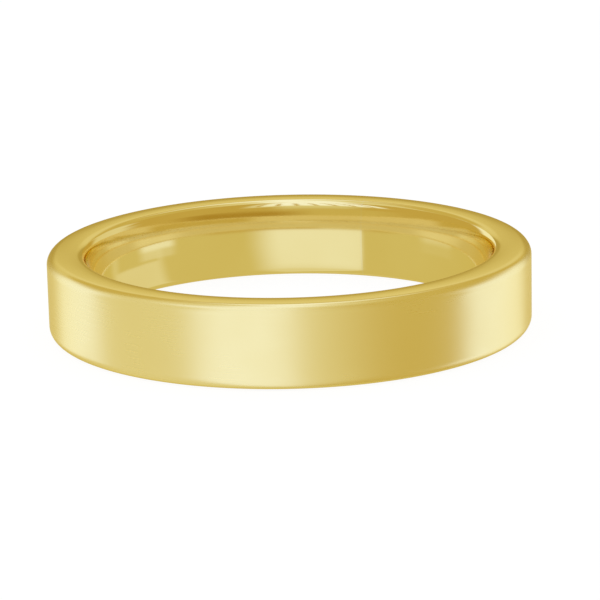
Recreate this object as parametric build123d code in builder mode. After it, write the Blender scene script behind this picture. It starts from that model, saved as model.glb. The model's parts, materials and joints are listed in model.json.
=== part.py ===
"""Plain flat-court wedding band: a hoop of gold wire and the soldered butt joint that closes it.

Millimetres, +Z up. The ring lies on its lower rim with its axis on Z. The origin is on the axis, in the plane
of the lower rim. The back of the ring is towards +Y.
"""

from build123d import *
import os
from math import asin, cos, degrees, pi, radians, sin

# Driving dimensions
FINGER_CIRCUMFERENCE = 61.0  # ISO 8653 ring size 61: the bore's circumference
BAND_WIDTH = 4.0  # rim to rim, along the finger
WALL_THICKNESS = 2.0  # at mid-width, from the bore to the outer wall
BORE_LAND_WIDTH = 0.4  # straight strip at mid-width, trued on the sizing mandrel
COURT_RADIUS = 7.7  # arc of the domed inner wall, above and below the land
INNER_EDGE_RADIUS = 0.45  # soft edge on the finger side
OUTER_EDGE_RADIUS = 0.5  # soft edge on the outside
SOLDER_THICKNESS = 0.1  # gap between the filed ends of the wire
JOINT_BEARING = 22.5  # degrees from the back of the ring, towards +X

# Worked out from them
BORE_RADIUS = FINGER_CIRCUMFERENCE / (2 * pi)
OUTER_RADIUS = BORE_RADIUS + WALL_THICKNESS
MID_HEIGHT = BAND_WIDTH / 2
LAND_TOP = MID_HEIGHT + BORE_LAND_WIDTH / 2
LAND_BOTTOM = MID_HEIGHT - BORE_LAND_WIDTH / 2
COURT_SWEEP = degrees(asin(LAND_BOTTOM / COURT_RADIUS))  # from the land to the rim's plane

# Section of the wire: x is the distance from the ring's axis, y is the height
with BuildSketch(Plane.XZ) as wire_section:
    with BuildLine():
        Line((BORE_RADIUS, LAND_BOTTOM), (BORE_RADIUS, LAND_TOP))
        upper_court = JernArc((BORE_RADIUS, LAND_TOP), (0, 1), COURT_RADIUS, -COURT_SWEEP)
        lower_court = JernArc((BORE_RADIUS, LAND_BOTTOM), (0, -1), COURT_RADIUS, COURT_SWEEP)
        Line(upper_court @ 1, (OUTER_RADIUS, BAND_WIDTH))
        Line((OUTER_RADIUS, BAND_WIDTH), (OUTER_RADIUS, 0))
        Line((OUTER_RADIUS, 0), lower_court @ 1)
    make_face()
    # Outwards from the axis come the ends of the land, the finger-side corners and the outer corners
    fillet(wire_section.vertices().group_by(Axis.X)[-1], OUTER_EDGE_RADIUS)
    fillet(wire_section.vertices().group_by(Axis.X)[1], INNER_EDGE_RADIUS)

# Butt joint: a slab across the wall, square to the way the wire runs and larger than the section
bearing = radians(JOINT_BEARING)
joint_plane = Plane(
    origin=(0, 0, 0),
    x_dir=(sin(bearing), cos(bearing), 0),
    z_dir=(cos(bearing), -sin(bearing), 0),
)
with BuildSketch(joint_plane) as joint_gap:
    with Locations((BORE_RADIUS + WALL_THICKNESS / 2, MID_HEIGHT)):
        Rectangle(2 * WALL_THICKNESS, 2 * BAND_WIDTH)

# Hoop: the bent wire, open where its filed ends face each other
with BuildPart() as band:
    revolve(wire_section.sketch, axis=Axis.Z)
    extrude(joint_gap.sketch, amount=SOLDER_THICKNESS / 2, both=True, mode=Mode.SUBTRACT)

# Solder: fills the gap through the whole section, dressed flush with the hoop
with BuildPart() as solder_seam:
    revolve(wire_section.sketch, axis=Axis.Z)
    extrude(joint_gap.sketch, amount=SOLDER_THICKNESS / 2, both=True, mode=Mode.INTERSECT)

band.part.label = "band"
solder_seam.part.label = "solder_seam"

os.makedirs("parts", exist_ok=True)
export_step(band.part, "parts/band.step")
export_step(solder_seam.part, "parts/solder_seam.step")
print(f"bore radius {BORE_RADIUS:.4f} mm, outer radius {OUTER_RADIUS:.4f} mm")
print(f"volume: hoop {band.part.volume:.3f} mm3, solder {solder_seam.part.volume:.4f} mm3")
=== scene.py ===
"""Plain flat-court wedding band in polished yellow gold, lying on its rim in a soft studio.

Metres, +Z up, in the CAD model's frame. The hoop and its solder joint are turned again here as fine meshes,
because polished metal shows every facet, and they replace the two CAD nodes.
"""
import json
from math import asin, atan2, cos, pi, radians, sin, sqrt, tau

import bmesh
import bpy
from mathutils import Matrix, Vector


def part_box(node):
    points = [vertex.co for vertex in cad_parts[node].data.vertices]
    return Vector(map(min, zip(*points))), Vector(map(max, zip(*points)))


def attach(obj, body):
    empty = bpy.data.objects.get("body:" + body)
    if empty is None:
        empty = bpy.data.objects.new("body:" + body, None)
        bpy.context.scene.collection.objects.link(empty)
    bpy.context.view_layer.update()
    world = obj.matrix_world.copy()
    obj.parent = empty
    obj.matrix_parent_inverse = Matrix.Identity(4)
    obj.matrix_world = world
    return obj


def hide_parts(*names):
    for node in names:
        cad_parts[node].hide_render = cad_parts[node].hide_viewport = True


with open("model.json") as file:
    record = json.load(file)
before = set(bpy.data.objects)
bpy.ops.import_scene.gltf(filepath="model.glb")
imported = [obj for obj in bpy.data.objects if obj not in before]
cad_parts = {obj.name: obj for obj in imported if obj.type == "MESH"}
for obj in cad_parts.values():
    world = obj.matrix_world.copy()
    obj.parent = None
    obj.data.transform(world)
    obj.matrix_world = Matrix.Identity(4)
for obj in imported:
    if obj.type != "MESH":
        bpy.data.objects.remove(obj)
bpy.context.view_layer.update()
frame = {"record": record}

MM = 0.001

# Sizes that the frame gives
MOUNTS = {mount["name"]: mount for mount in frame["record"]["mounts"]}
BORE_RADIUS = MOUNTS["finger_bore"]["dims"]["r_mm"] * MM
LAND_WIDTH = MOUNTS["finger_bore"]["dims"]["length_mm"] * MM
BAND_LOW, BAND_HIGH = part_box("band")
SEAM_LOW, SEAM_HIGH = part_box("solder_seam")
WIDTH = BAND_HIGH.z - BAND_LOW.z
OUTER_RADIUS = (BAND_HIGH.x - BAND_LOW.x) / 2
MID_HEIGHT = (BAND_HIGH.z + BAND_LOW.z) / 2

# Section of the wire, as in the CAD model
COURT_RADIUS = 7.7 * MM  # arc of the domed inner wall
INNER_EDGE_RADIUS = 0.45 * MM
OUTER_EDGE_RADIUS = 0.5 * MM
SOLDER_THICKNESS = 0.1 * MM
RIM_CROWN = 0.010 * MM  # polishing leaves the rims this much higher along their middle

# The joint's bearing, from the back of the ring towards +X
SEAM_MIDDLE = (SEAM_LOW + SEAM_HIGH) / 2
SEAM_BEARING = atan2(SEAM_MIDDLE.x, SEAM_MIDDLE.y)

# How finely the meshes are turned
SEGMENTS = 720  # round the hoop, which keeps it under 200,000 triangles
SEAM_SEGMENTS = 2  # through the solder
LAND_STEPS = 4  # along each half of the straight strip
COURT_STEPS = 20  # along each half of the domed wall
INNER_EDGE_STEPS = 12
OUTER_EDGE_STEPS = 12
RIM_STEPS = 12
WALL_STEPS = 7  # along each half of the outer wall
EASE = 0.02 * MM  # rows this close to the outer wall's ends keep its shading flat
DISC_SEGMENTS = 96


# ---------------------------------------------------------------------------------------------- camera

CAMERA_DISTANCE = 145 * MM
CAMERA_PITCH = radians(14.186)  # looking down
CAMERA_ROLL = radians(1.382)  # the ring's right side stands a little higher
LENS = 179.2  # mm, on a 36 mm sensor
SENSOR = 36.0
NEAREST = 5 * MM  # what the camera sees starts here
FARTHEST = 10.0  # and ends here
RING_LEFT_OF_CENTRE = 0.0170  # the ring's middle, as shares of the picture's width
RING_ABOVE_CENTRE = 0.02535


def make_camera():
    """A long lens from the front, a little above the ring."""
    middle = Vector((0, 0, MID_HEIGHT))
    forward = Vector((0, cos(CAMERA_PITCH), -sin(CAMERA_PITCH)))
    upright = Vector((0, sin(CAMERA_PITCH), cos(CAMERA_PITCH)))
    right = cos(CAMERA_ROLL) * Vector((1, 0, 0)) - sin(CAMERA_ROLL) * upright
    up = sin(CAMERA_ROLL) * Vector((1, 0, 0)) + cos(CAMERA_ROLL) * upright
    place = middle - forward * CAMERA_DISTANCE
    picture_width = CAMERA_DISTANCE * SENSOR / LENS
    aim = middle + picture_width * (RING_LEFT_OF_CENTRE * right - RING_ABOVE_CENTRE * up)

    back = (place - aim).normalized()
    right = up.cross(back).normalized()
    up = back.cross(right)
    data = bpy.data.cameras.new("camera")
    data.lens = LENS
    data.sensor_width = SENSOR
    data.clip_start = NEAREST
    data.clip_end = FARTHEST
    camera = bpy.data.objects.new("camera", data)
    bpy.context.scene.collection.objects.link(camera)
    turn = Matrix((right, up, back)).transposed().to_4x4()
    camera.matrix_world = Matrix.Translation(place) @ turn
    bpy.context.scene.camera = camera


# ---------------------------------------------------------------------------------------------- meshes

def spaced(start, end, steps, ease=0.0):
    """Evenly spaced values from start to end. With ease, each end has one more just inside it."""
    values = [start + (end - start) * i / steps for i in range(steps + 1)]
    if ease:
        step = ease if end > start else -ease
        values = values[:1] + [start + step] + values[1:-1] + [end - step] + values[-1:]
    return values


def arc(centre_r, centre_z, radius, start, end, steps):
    """Points on an arc, its angles measured from straight out of the ring towards +Z."""
    angles = [start + (end - start) * i / steps for i in range(steps + 1)]
    return [(centre_r + radius * cos(a), centre_z + radius * sin(a)) for a in angles]


def half_section():
    """The section's upper half as (radius, height above mid-width), from the bore to the outer wall."""
    half = WIDTH / 2
    land = LAND_WIDTH / 2
    court_centre = (BORE_RADIUS + COURT_RADIUS, land)
    # The finger-side edge touches the domed wall from inside and the rim from below
    edge_z = half - RIM_CROWN - INNER_EDGE_RADIUS
    reach = COURT_RADIUS - INNER_EDGE_RADIUS
    edge_r = court_centre[0] - sqrt(reach ** 2 - (edge_z - land) ** 2)
    meet = atan2(edge_z - land, court_centre[0] - edge_r)
    outer_r = OUTER_RADIUS - OUTER_EDGE_RADIUS
    outer_z = half - RIM_CROWN - OUTER_EDGE_RADIUS
    crest_r = (edge_r + outer_r) / 2
    crest_half = (outer_r - edge_r) / 2
    slope = atan2(2 * RIM_CROWN, crest_half)  # of the crown, where it runs into the edges
    rim_start = edge_r - INNER_EDGE_RADIUS * sin(slope)
    rim_end = outer_r + OUTER_EDGE_RADIUS * sin(slope)

    points = [(BORE_RADIUS, z) for z in spaced(0, land, LAND_STEPS)]
    points += arc(*court_centre, COURT_RADIUS, pi, pi - meet, COURT_STEPS)[1:]
    points += arc(edge_r, edge_z, INNER_EDGE_RADIUS, pi - meet, pi / 2 + slope, INNER_EDGE_STEPS)[1:]
    for r in spaced(rim_start, rim_end, RIM_STEPS)[1:-1]:
        points.append((r, half - RIM_CROWN * ((r - crest_r) / crest_half) ** 2))
    points += arc(outer_r, outer_z, OUTER_EDGE_RADIUS, pi / 2 - slope, 0, OUTER_EDGE_STEPS)
    points += [(OUTER_RADIUS, z) for z in spaced(outer_z, 0, WALL_STEPS, EASE)][1:]
    return points


def full_section():
    """The whole closed section as (radius, height above the floor), once round."""
    upper = half_section()
    lower = [(r, -z) for r, z in reversed(upper[1:-1])]
    return [(r, MID_HEIGHT + z) for r, z in upper + lower]


def placed(name, shape):
    """The finished shape as an object in the scene."""
    mesh = bpy.data.meshes.new(name)
    shape.to_mesh(mesh)
    shape.free()
    piece = bpy.data.objects.new(name, mesh)
    bpy.context.scene.collection.objects.link(piece)
    return piece


def turned(name, section, segments, start_of, end_of):
    """A closed solid turned through part of a circle.

    start_of and end_of give the bearings where a point at a given radius starts and ends.
    """
    shape = bmesh.new()
    rings = []
    for i in range(segments + 1):
        share = i / segments
        row = []
        for r, z in section:
            bearing = start_of(r) + (end_of(r) - start_of(r)) * share
            row.append(shape.verts.new((r * sin(bearing), r * cos(bearing), z)))
        rings.append(row)
    count = len(section)
    for near, far in zip(rings, rings[1:]):
        for k in range(count):
            following = (k + 1) % count
            shape.faces.new((near[k], near[following], far[following], far[k]))
    for cap in (rings[0], rings[-1]):
        face = shape.faces.new(cap)
        for edge in face.edges:
            edge.smooth = False
    bmesh.ops.recalc_face_normals(shape, faces=shape.faces)
    for face in shape.faces:
        face.smooth = len(face.verts) == 4
    return placed(name, shape)


def flat_disc(name, radius, height):
    shape = bmesh.new()
    bmesh.ops.create_circle(shape, cap_ends=True, radius=radius, segments=DISC_SEGMENTS)
    bmesh.ops.translate(shape, verts=shape.verts, vec=(0, 0, height))
    return placed(name, shape)


def seam_half_angle(r):
    """Half the angle that the solder takes up at this radius, for a joint with parallel faces."""
    return asin(SOLDER_THICKNESS / 2 / r)


def make_hoop():
    return turned(
        "band_polished",
        full_section(),
        SEGMENTS,
        lambda r: SEAM_BEARING + seam_half_angle(r),
        lambda r: SEAM_BEARING + tau - seam_half_angle(r),
    )


def make_seam():
    return turned(
        "seam_polished",
        full_section(),
        SEAM_SEGMENTS,
        lambda r: SEAM_BEARING - seam_half_angle(r),
        lambda r: SEAM_BEARING + seam_half_angle(r),
    )


# ---------------------------------------------------------------------------------------------- nodes

class Nodes:
    """Short words for building a node tree."""

    def __init__(self, tree):
        self.tree = tree
        tree.nodes.clear()

    def new(self, kind, **settings):
        node = self.tree.nodes.new(kind)
        for name, value in settings.items():
            setattr(node, name, value)
        return node

    def put(self, socket, value):
        if isinstance(value, bpy.types.NodeSocket):
            self.tree.links.new(value, socket)
        else:
            socket.default_value = value

    def math(self, operation, *values):
        node = self.new("ShaderNodeMath", operation=operation)
        for socket, value in zip(node.inputs, values):
            self.put(socket, value)
        return node.outputs[0]

    def ramp(self, value, start, end, low=0.0, high=1.0):
        """Rises smoothly from low to high while value goes from start to end."""
        node = self.new("ShaderNodeMapRange", interpolation_type="SMOOTHSTEP")
        self.put(node.inputs["Value"], value)
        node.inputs["From Min"].default_value = start
        node.inputs["From Max"].default_value = end
        node.inputs["To Min"].default_value = low
        node.inputs["To Max"].default_value = high
        return node.outputs["Result"]

    def band(self, value, start, end, soft_start, soft_end):
        """1 between start and end, falling off to 0 over the soft widths centred on them."""
        rise = self.ramp(value, start - soft_start / 2, start + soft_start / 2)
        fall = self.ramp(value, end - soft_end / 2, end + soft_end / 2, 1.0, 0.0)
        return self.math("MULTIPLY", rise, fall)

    def blend(self, factor, under, over, way="MIX"):
        node = self.new("ShaderNodeMix", data_type="RGBA", blend_type=way)
        colours = [socket for socket in node.inputs if socket.type == "RGBA"]
        self.put(node.inputs[0], factor)
        self.put(colours[0], under)
        self.put(colours[1], over)
        return [socket for socket in node.outputs if socket.type == "RGBA"][0]


def rgb(red, green, blue):
    return (red, green, blue, 1.0)


def empty_material(name):
    """A new material, and the Nodes to fill it with."""
    material = bpy.data.materials.new(name)
    material.use_nodes = True
    return material, Nodes(material.node_tree)


# ---------------------------------------------------------------------------------------------- gold

GOLD = rgb(0.96, 0.79, 0.37)
SOLDER = rgb(0.95, 0.80, 0.42)
EDGE_TINT = rgb(0.97, 0.85, 0.52)  # keeps the metal yellow at a glancing angle
PATCH_SHADE = (0.985, 0.975, 0.94)  # a dark patch's red, green and blue, as shares of the metal's
WALL_ROUGHNESS = 0.29  # the outer wall is buffed and worn soft
BORE_ROUGHNESS = 0.075  # the court is bright
RIM_ROUGHNESS = 0.11
MARKS_ROUND = 500.0  # buffing marks to a metre, round the ring
MARKS_ACROSS = 16000.0  # and across it
MARKS_DETAIL = 3.0
MARKS_VARY = (0.96, 1.04)  # the roughness of a mark's bottom and top, as shares of the surface's own
PATCHES = 260.0  # worn patches to a metre
PATCH_DETAIL = 2.0
PATCHES_VARY = (0.95, 1.05)
NOISE_RANGE = (0.3, 0.7)  # nearly all of a noise lies in here
TONE_RANGE = (0.35, 0.65)  # the part of it over which the tone goes from plain to dark
BUMP_STRENGTH = 0.05
BUMP_DEPTH = 0.0004 * MM


def noise(n, vector, scale, detail):
    texture = n.new("ShaderNodeTexNoise", noise_dimensions="3D")
    n.put(texture.inputs["Vector"], vector)
    texture.inputs["Scale"].default_value = scale
    texture.inputs["Detail"].default_value = detail
    return texture.outputs["Fac"]


def buffing_marks(n, x, y, z, radius):
    """Marks that are long round the ring and fine across it, on the walls and on the rims alike."""
    lie = n.new("ShaderNodeCombineXYZ")
    n.put(lie.inputs[0], n.math("MULTIPLY", x, MARKS_ROUND))
    n.put(lie.inputs[1], n.math("MULTIPLY", y, MARKS_ROUND))
    n.put(lie.inputs[2], n.math("MULTIPLY", n.math("ADD", z, radius), MARKS_ACROSS))
    return noise(n, lie.outputs[0], 1.0, MARKS_DETAIL)


def roughness(n, radius, marks, patches):
    """Each surface's own roughness, varied a little by the marks and by wear."""
    outside = n.ramp(radius, OUTER_RADIUS - OUTER_EDGE_RADIUS, OUTER_RADIUS)
    inside = n.ramp(radius, BORE_RADIUS + INNER_EDGE_RADIUS, BORE_RADIUS)
    rough = n.math("ADD", RIM_ROUGHNESS, n.math("MULTIPLY", outside, WALL_ROUGHNESS - RIM_ROUGHNESS))
    rough = n.math("ADD", rough, n.math("MULTIPLY", inside, BORE_ROUGHNESS - RIM_ROUGHNESS))
    vary = n.ramp(marks, *NOISE_RANGE, *MARKS_VARY)
    wear = n.ramp(patches, *NOISE_RANGE, *PATCHES_VARY)
    return n.math("MULTIPLY", rough, n.math("MULTIPLY", vary, wear))


def gold(name, colour):
    """Polished gold: buffing marks that run round the ring, and slight patches of wear."""
    material, n = empty_material(name)
    position = n.new("ShaderNodeTexCoord").outputs["Object"]
    split = n.new("ShaderNodeSeparateXYZ")
    n.put(split.inputs[0], position)
    x, y, z = split.outputs
    radius = n.math("SQRT", n.math("ADD", n.math("MULTIPLY", x, x), n.math("MULTIPLY", y, y)))
    marks = buffing_marks(n, x, y, z, radius)
    patches = noise(n, position, PATCHES, PATCH_DETAIL)
    shaded = rgb(*(share * level for share, level in zip(PATCH_SHADE, colour)))

    shader = n.new("ShaderNodeBsdfPrincipled")
    n.put(shader.inputs["Base Color"], n.blend(n.ramp(patches, *TONE_RANGE), colour, shaded))
    shader.inputs["Metallic"].default_value = 1.0
    n.put(shader.inputs["Roughness"], roughness(n, radius, marks, patches))
    shader.inputs["Specular Tint"].default_value = EDGE_TINT
    bump = n.new("ShaderNodeBump")
    bump.inputs["Strength"].default_value = BUMP_STRENGTH
    bump.inputs["Distance"].default_value = BUMP_DEPTH
    n.put(bump.inputs["Height"], marks)
    n.put(shader.inputs["Normal"], bump.outputs[0])
    output = n.new("ShaderNodeOutputMaterial")
    n.put(output.inputs["Surface"], shader.outputs[0])
    return material


# ---------------------------------------------------------------------------------------------- studio

# What the metal mirrors, by direction: the colours of the studio's walls, cards and ceiling light
GLARE = rgb(0.99, 1.13, 1.50)
PALE = rgb(0.965, 1.085, 1.37)
CREAM = rgb(0.87, 0.935, 0.96)
LINEN = rgb(0.77, 0.77, 0.60)
STRAW = rgb(0.75, 0.74, 0.53)
SAND = rgb(0.68, 0.655, 0.41)
OLIVE = rgb(0.655, 0.605, 0.30)
BRONZE = rgb(0.60, 0.51, 0.195)
WALNUT = rgb(0.56, 0.44, 0.14)
RUSSET = rgb(0.48, 0.415, 0.17)
UMBER = rgb(0.42, 0.28, 0.05)

SLAT = (0.4, 0.66)  # where a slat starts and ends, as shares of the spacing
SLAT_SOFT = (0.1, 0.1)


class Studio(Nodes):
    """Light by direction. Bearings are degrees from the camera's side towards +X, heights degrees up.

    Everything that is laid on the light under it has a colour and a soft edge so many degrees wide.
    """

    def __init__(self, tree):
        super().__init__(tree)
        split = self.new("ShaderNodeSeparateXYZ")
        self.put(split.inputs[0], self.new("ShaderNodeTexCoord").outputs["Generated"])
        self.x, self.y, self.z = split.outputs
        toward_camera = self.math("MULTIPLY", self.y, -1.0)
        self.bearing = self.math("DEGREES", self.math("ARCTAN2", self.x, toward_camera))
        self.height = self.math("DEGREES", self.math("ARCSINE", self.z))

    def panel(self, bearings, heights, soft_bearings, soft_heights, lean=0.0):
        """1 between two bearings and two heights, softened over so many degrees, and 0 elsewhere.

        A panel that leans shifts sideways by that share of its height.
        """
        middle = sum(bearings) / 2
        half = (bearings[1] - bearings[0]) / 2
        shift = self.math("MULTIPLY", self.math("SUBTRACT", self.height, sum(heights) / 2), lean)
        aside = self.math("SUBTRACT", self.math("SUBTRACT", self.bearing, middle), shift)
        wide = self.band(self.math("WRAP", aside, 180.0, -180.0), -half, half, *soft_bearings)
        tall = self.band(self.height, *heights, *soft_heights)
        return self.math("MULTIPLY", wide, tall)

    def card(self, under, colour, bearings, heights, soft_bearings, soft_heights=(10, 10), lean=0.0):
        mask = self.panel(bearings, heights, soft_bearings, soft_heights, lean)
        return self.blend(mask, under, colour)

    def slats(self, under, colour, bearings, heights, spacing):
        """A row of narrow slats, one to every so many degrees."""
        mask = self.panel(bearings, heights, (30, 30), (4, 10))
        place = self.math("FRACT", self.math("DIVIDE", self.bearing, spacing))
        row = self.band(place, *SLAT, *SLAT_SOFT)
        return self.blend(self.math("MULTIPLY", mask, row), under, colour)

    def round_card(self, under, colour, bearing, height, radius, soft):
        """A round softbox, its size and the width of its edge in degrees."""
        flat = cos(radians(height))
        aim = (sin(radians(bearing)) * flat, -cos(radians(bearing)) * flat, sin(radians(height)))
        parts = [self.math("MULTIPLY", axis, share) for axis, share in zip((self.x, self.y, self.z), aim)]
        dot = self.math("ADD", self.math("ADD", parts[0], parts[1]), parts[2])
        away = self.math("DEGREES", self.math("ARCCOSINE", self.math("MINIMUM", dot, 1.0)))
        return self.blend(self.ramp(away, radius - soft / 2, radius + soft / 2, 1.0, 0.0), under, colour)


def outside_light(n):
    """The studio as the outer wall and the rims mirror it."""
    light = n.card(STRAW, BRONZE, (30, 160), (-90, 68), (46, 14), (10, 16))
    # Behind the ring: the table, its dark far edge, and the backdrop above it with a bright middle
    light = n.card(light, SAND, (146, 214), (-90, 16), (14, 20), (10, 6))
    light = n.card(light, RUSSET, (144, 212), (-8, 12.5), (14, 20), (6, 2))
    light = n.card(light, BRONZE, (126, 240), (26, 58), (14, 14), (6, 14))
    light = n.card(light, LINEN, (158, 196), (16.5, 32), (14, 14), (4, 10))
    light = n.card(light, CREAM, (158, 194), (44, 90), (14, 14), (12, 10))
    light = n.card(light, GLARE, (172, 188), (44, 90), (8, 8), (10, 10))
    # Ceiling light
    light = n.round_card(light, GLARE, -118, 86, 12, 8)
    light = n.card(light, PALE, (-84, 2), (50, 90), (24, 10), (16, 4))
    # Tall cards in front and to both sides
    light = n.card(light, PALE, (-46, 2.5), (-90, 90), (8, 10))
    light = n.card(light, GLARE, (-140, -101), (-24, 28), (8, 8), (14, 22))
    light = n.card(light, GLARE, (89, 144), (-40, 24), (8, 8), (20, 26))
    return light


def inside_light(n):
    """The studio as the bore mirrors it, up through the ring and down on to what it lies on."""
    light = n.blend(n.ramp(n.height, -3, 1), OLIVE, WALNUT)
    # Overhead: the hood over the camera, the skylight and its slats
    light = n.card(light, SAND, (-40, 6), (8, 24), (20, 16), (8, 6))
    light = n.card(light, SAND, (-48, 26), (22, 60), (16, 14), (6, 10))
    light = n.card(light, LINEN, (-28, 4), (24, 60), (16, 12), (10, 10))
    light = n.card(light, CREAM, (-66, 22), (30, 72), (10, 20), (8, 10))
    light = n.card(light, GLARE, (-64, 14), (38, 90), (10, 20), (8, 4))
    light = n.round_card(light, GLARE, -118, 86, 17, 10)
    light = n.card(light, GLARE, (176, 198), (44, 90), (10, 8), (8, 4))
    light = n.slats(light, WALNUT, (-72, 32), (31, 64), 12.4)
    # Cards past the back of the ring
    light = n.card(light, LINEN, (104, 146), (-4, 20), (24, 10), (6, 6))
    light = n.card(light, LINEN, (112, 158), (18, 36), (14, 10), (6, 8))
    light = n.card(light, PALE, (-173, -142), (0, 26), (6, 10), (6, 8))
    # Dark edge just above the horizon
    light = n.card(light, BRONZE, (-62, 10), (-1, 7), (30, 30), (2.5, 3))
    light = n.card(light, UMBER, (-4, 62), (0.5, 6), (36, 30), (2.5, 3))
    light = n.card(light, WALNUT, (-66, 50), (-9, -5), (16, 20), (2, 3))
    light = n.card(light, LINEN, (-50, -18), (-8, -2), (10, 12), (3, 3))
    # The sheet of light that lies in the ring, and the smaller ones at its ends
    light = n.card(light, LINEN, (-48, 17), (-90, -34), (3, 22), (10, 14))
    light = n.card(light, CREAM, (-45.5, 15), (-36, -8.6), (3, 24), (14, 1.6), 0.12)
    light = n.card(light, LINEN, (82, 126), (-40, -6), (10, 10), (10, 4))
    light = n.card(light, CREAM, (72, 98), (-13, -3), (8, 10), (3, 4))
    light = n.card(light, OLIVE, (98, 122), (-15.4, -9.5), (10, 12), (1.5, 3))
    light = n.card(light, OLIVE, (84, 110), (-15.2, -13.7), (6, 10), (1, 1))
    light = n.card(light, LINEN, (-110, -85), (-12, -3), (8, 10), (6, 4))
    light = n.card(light, CREAM, (150, 210), (-44, -8), (4, 20), (14, 8))
    return light


# What the bore mirrors in itself
TWICE_MIRRORED = rgb(0.73, 0.79, 0.92)
TWICE_MIRRORED_DIM = rgb(0.59, 0.57, 0.38)
TWICE_MIRRORED_LOW = rgb(0.68, 0.75, 0.92)
TWICE_MIRRORED_CARD = rgb(0.81, 0.94, 1.38)
GLANCING_GOLD = (0.96, 0.77, 0.33)  # what each bounce after the second leaves of red, green and blue
BOUNCE_KEEP = 0.97  # what it leaves of each when it is evened out
BOUNCES_EVENED = (4, 5, 3.4)  # the most bounces that are evened out, of red, green and blue
STEEP = -28  # light that leaves the ring as steeply as this
STEEP_EVENED = 0.1  # is evened out by only this share
SHALLOW = -16  # and from here up it is evened out in full
LOW_HEIGHTS = (-12, -6)  # TWICE_MIRRORED_LOW gives way to TWICE_MIRRORED between these


def mirrored_again(n, depth):
    """Light that has met the bore twice or more. Each further bounce tints it, and this makes up for most.

    The steeper the light leaves the ring, the more it grazed the wall, and the less each bounce tinted it.
    """
    extra = n.math("MAXIMUM", n.math("SUBTRACT", depth, 2.0), 0.0)
    part = n.ramp(n.height, STEEP, SHALLOW, STEEP_EVENED, 1.0)
    gains = n.new("ShaderNodeCombineColor")
    for socket, share, most in zip(gains.inputs, GLANCING_GOLD, BOUNCES_EVENED):
        given = n.math("MULTIPLY", n.math("MINIMUM", extra, most), part)
        n.put(socket, n.math("POWER", BOUNCE_KEEP / share, given))
    base = n.blend(n.ramp(n.height, *LOW_HEIGHTS), TWICE_MIRRORED_LOW, TWICE_MIRRORED)
    base = n.card(base, TWICE_MIRRORED_DIM, (-138, -8), (-3, 60), (30, 24), (4, 10))
    base = n.card(base, TWICE_MIRRORED_CARD, (-46, 20), (-30, -8), (40, 30), (10, 4))
    return n.blend(1.0, base, gains.outputs[0], "MULTIPLY")


def make_world():
    """The studio for mirrored light, and plain white for all other light."""
    world = bpy.data.worlds.new("studio")
    world.use_nodes = True
    world.cycles.sampling_method = "NONE"
    bpy.context.scene.world = world
    n = Studio(world.node_tree)
    path = n.new("ShaderNodeLightPath")
    depth = path.outputs["Glossy Depth"]
    through_bore = n.math("GREATER_THAN", path.outputs["Transparent Depth"], 0.5)
    again = n.math("GREATER_THAN", depth, 1.5)
    within = n.blend(again, inside_light(n), mirrored_again(n, depth))
    mirrored = n.new("ShaderNodeBackground")
    n.put(mirrored.inputs["Color"], n.blend(through_bore, outside_light(n), within))
    plain = n.new("ShaderNodeBackground")
    plain.inputs["Color"].default_value = rgb(1, 1, 1)
    choose = n.new("ShaderNodeMixShader")
    n.put(choose.inputs[0], path.outputs["Is Glossy Ray"])
    n.put(choose.inputs[1], plain.outputs[0])
    n.put(choose.inputs[2], mirrored.outputs[0])
    output = n.new("ShaderNodeOutputWorld")
    n.put(output.inputs["Surface"], choose.outputs[0])


PANE_INSET = 0.1 * MM  # a pane lies this far inside the ring's rim
PANE_RADIUS = BORE_RADIUS + 0.25 * MM  # just clear of the wall at that height


def make_pane(name, height):
    """A disc across the bore that only mirrored light meets, which tells the world what left the bore."""
    pane = flat_disc(name, PANE_RADIUS, height)
    material, n = empty_material(name)
    output = n.new("ShaderNodeOutputMaterial")
    n.put(output.inputs["Surface"], n.new("ShaderNodeBsdfTransparent").outputs[0])
    pane.data.materials.append(material)
    pane.visible_camera = False
    pane.visible_diffuse = False
    pane.visible_transmission = False
    pane.visible_shadow = False


FLOOR_RADIUS = 3.0
FLOOR_DROP = 0.01 * MM  # keeps the floor clear of the lower rim
FLOOR_ALBEDO = 0.10  # the part that the ring can shade
FLOOR_GLOW = 0.92  # the part that it can't


def make_floor():
    """White paper whose glow no shadow reaches, so that the ring's shadow stays faint."""
    floor = flat_disc("floor", FLOOR_RADIUS, BAND_LOW.z - FLOOR_DROP)
    material, n = empty_material("paper")
    shade = n.new("ShaderNodeBsdfDiffuse")
    shade.inputs["Color"].default_value = rgb(FLOOR_ALBEDO, FLOOR_ALBEDO, FLOOR_ALBEDO)
    glow = n.new("ShaderNodeEmission")
    glow.inputs["Strength"].default_value = FLOOR_GLOW
    both = n.new("ShaderNodeAddShader")
    n.put(both.inputs[0], shade.outputs[0])
    n.put(both.inputs[1], glow.outputs[0])
    output = n.new("ShaderNodeOutputMaterial")
    n.put(output.inputs["Surface"], both.outputs[0])
    floor.data.materials.append(material)
    floor.visible_glossy = False


# ---------------------------------------------------------------------------------------------- the scene

GLOSSY_BOUNCES = 12  # the bore mirrors itself many times towards its ends

make_camera()
make_world()
make_floor()
make_pane("lower_pane", BAND_LOW.z + PANE_INSET)
make_pane("upper_pane", BAND_HIGH.z - PANE_INSET)
bpy.context.scene.view_settings.view_transform = "Standard"
bpy.context.scene.cycles.glossy_bounces = GLOSSY_BOUNCES

hoop = make_hoop()
hoop.data.materials.append(gold("polished_yellow_gold", GOLD))
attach(hoop, "root")
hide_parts("band")

seam = make_seam()
seam.data.materials.append(gold("gold_solder", SOLDER))
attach(seam, "root")
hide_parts("solder_seam")
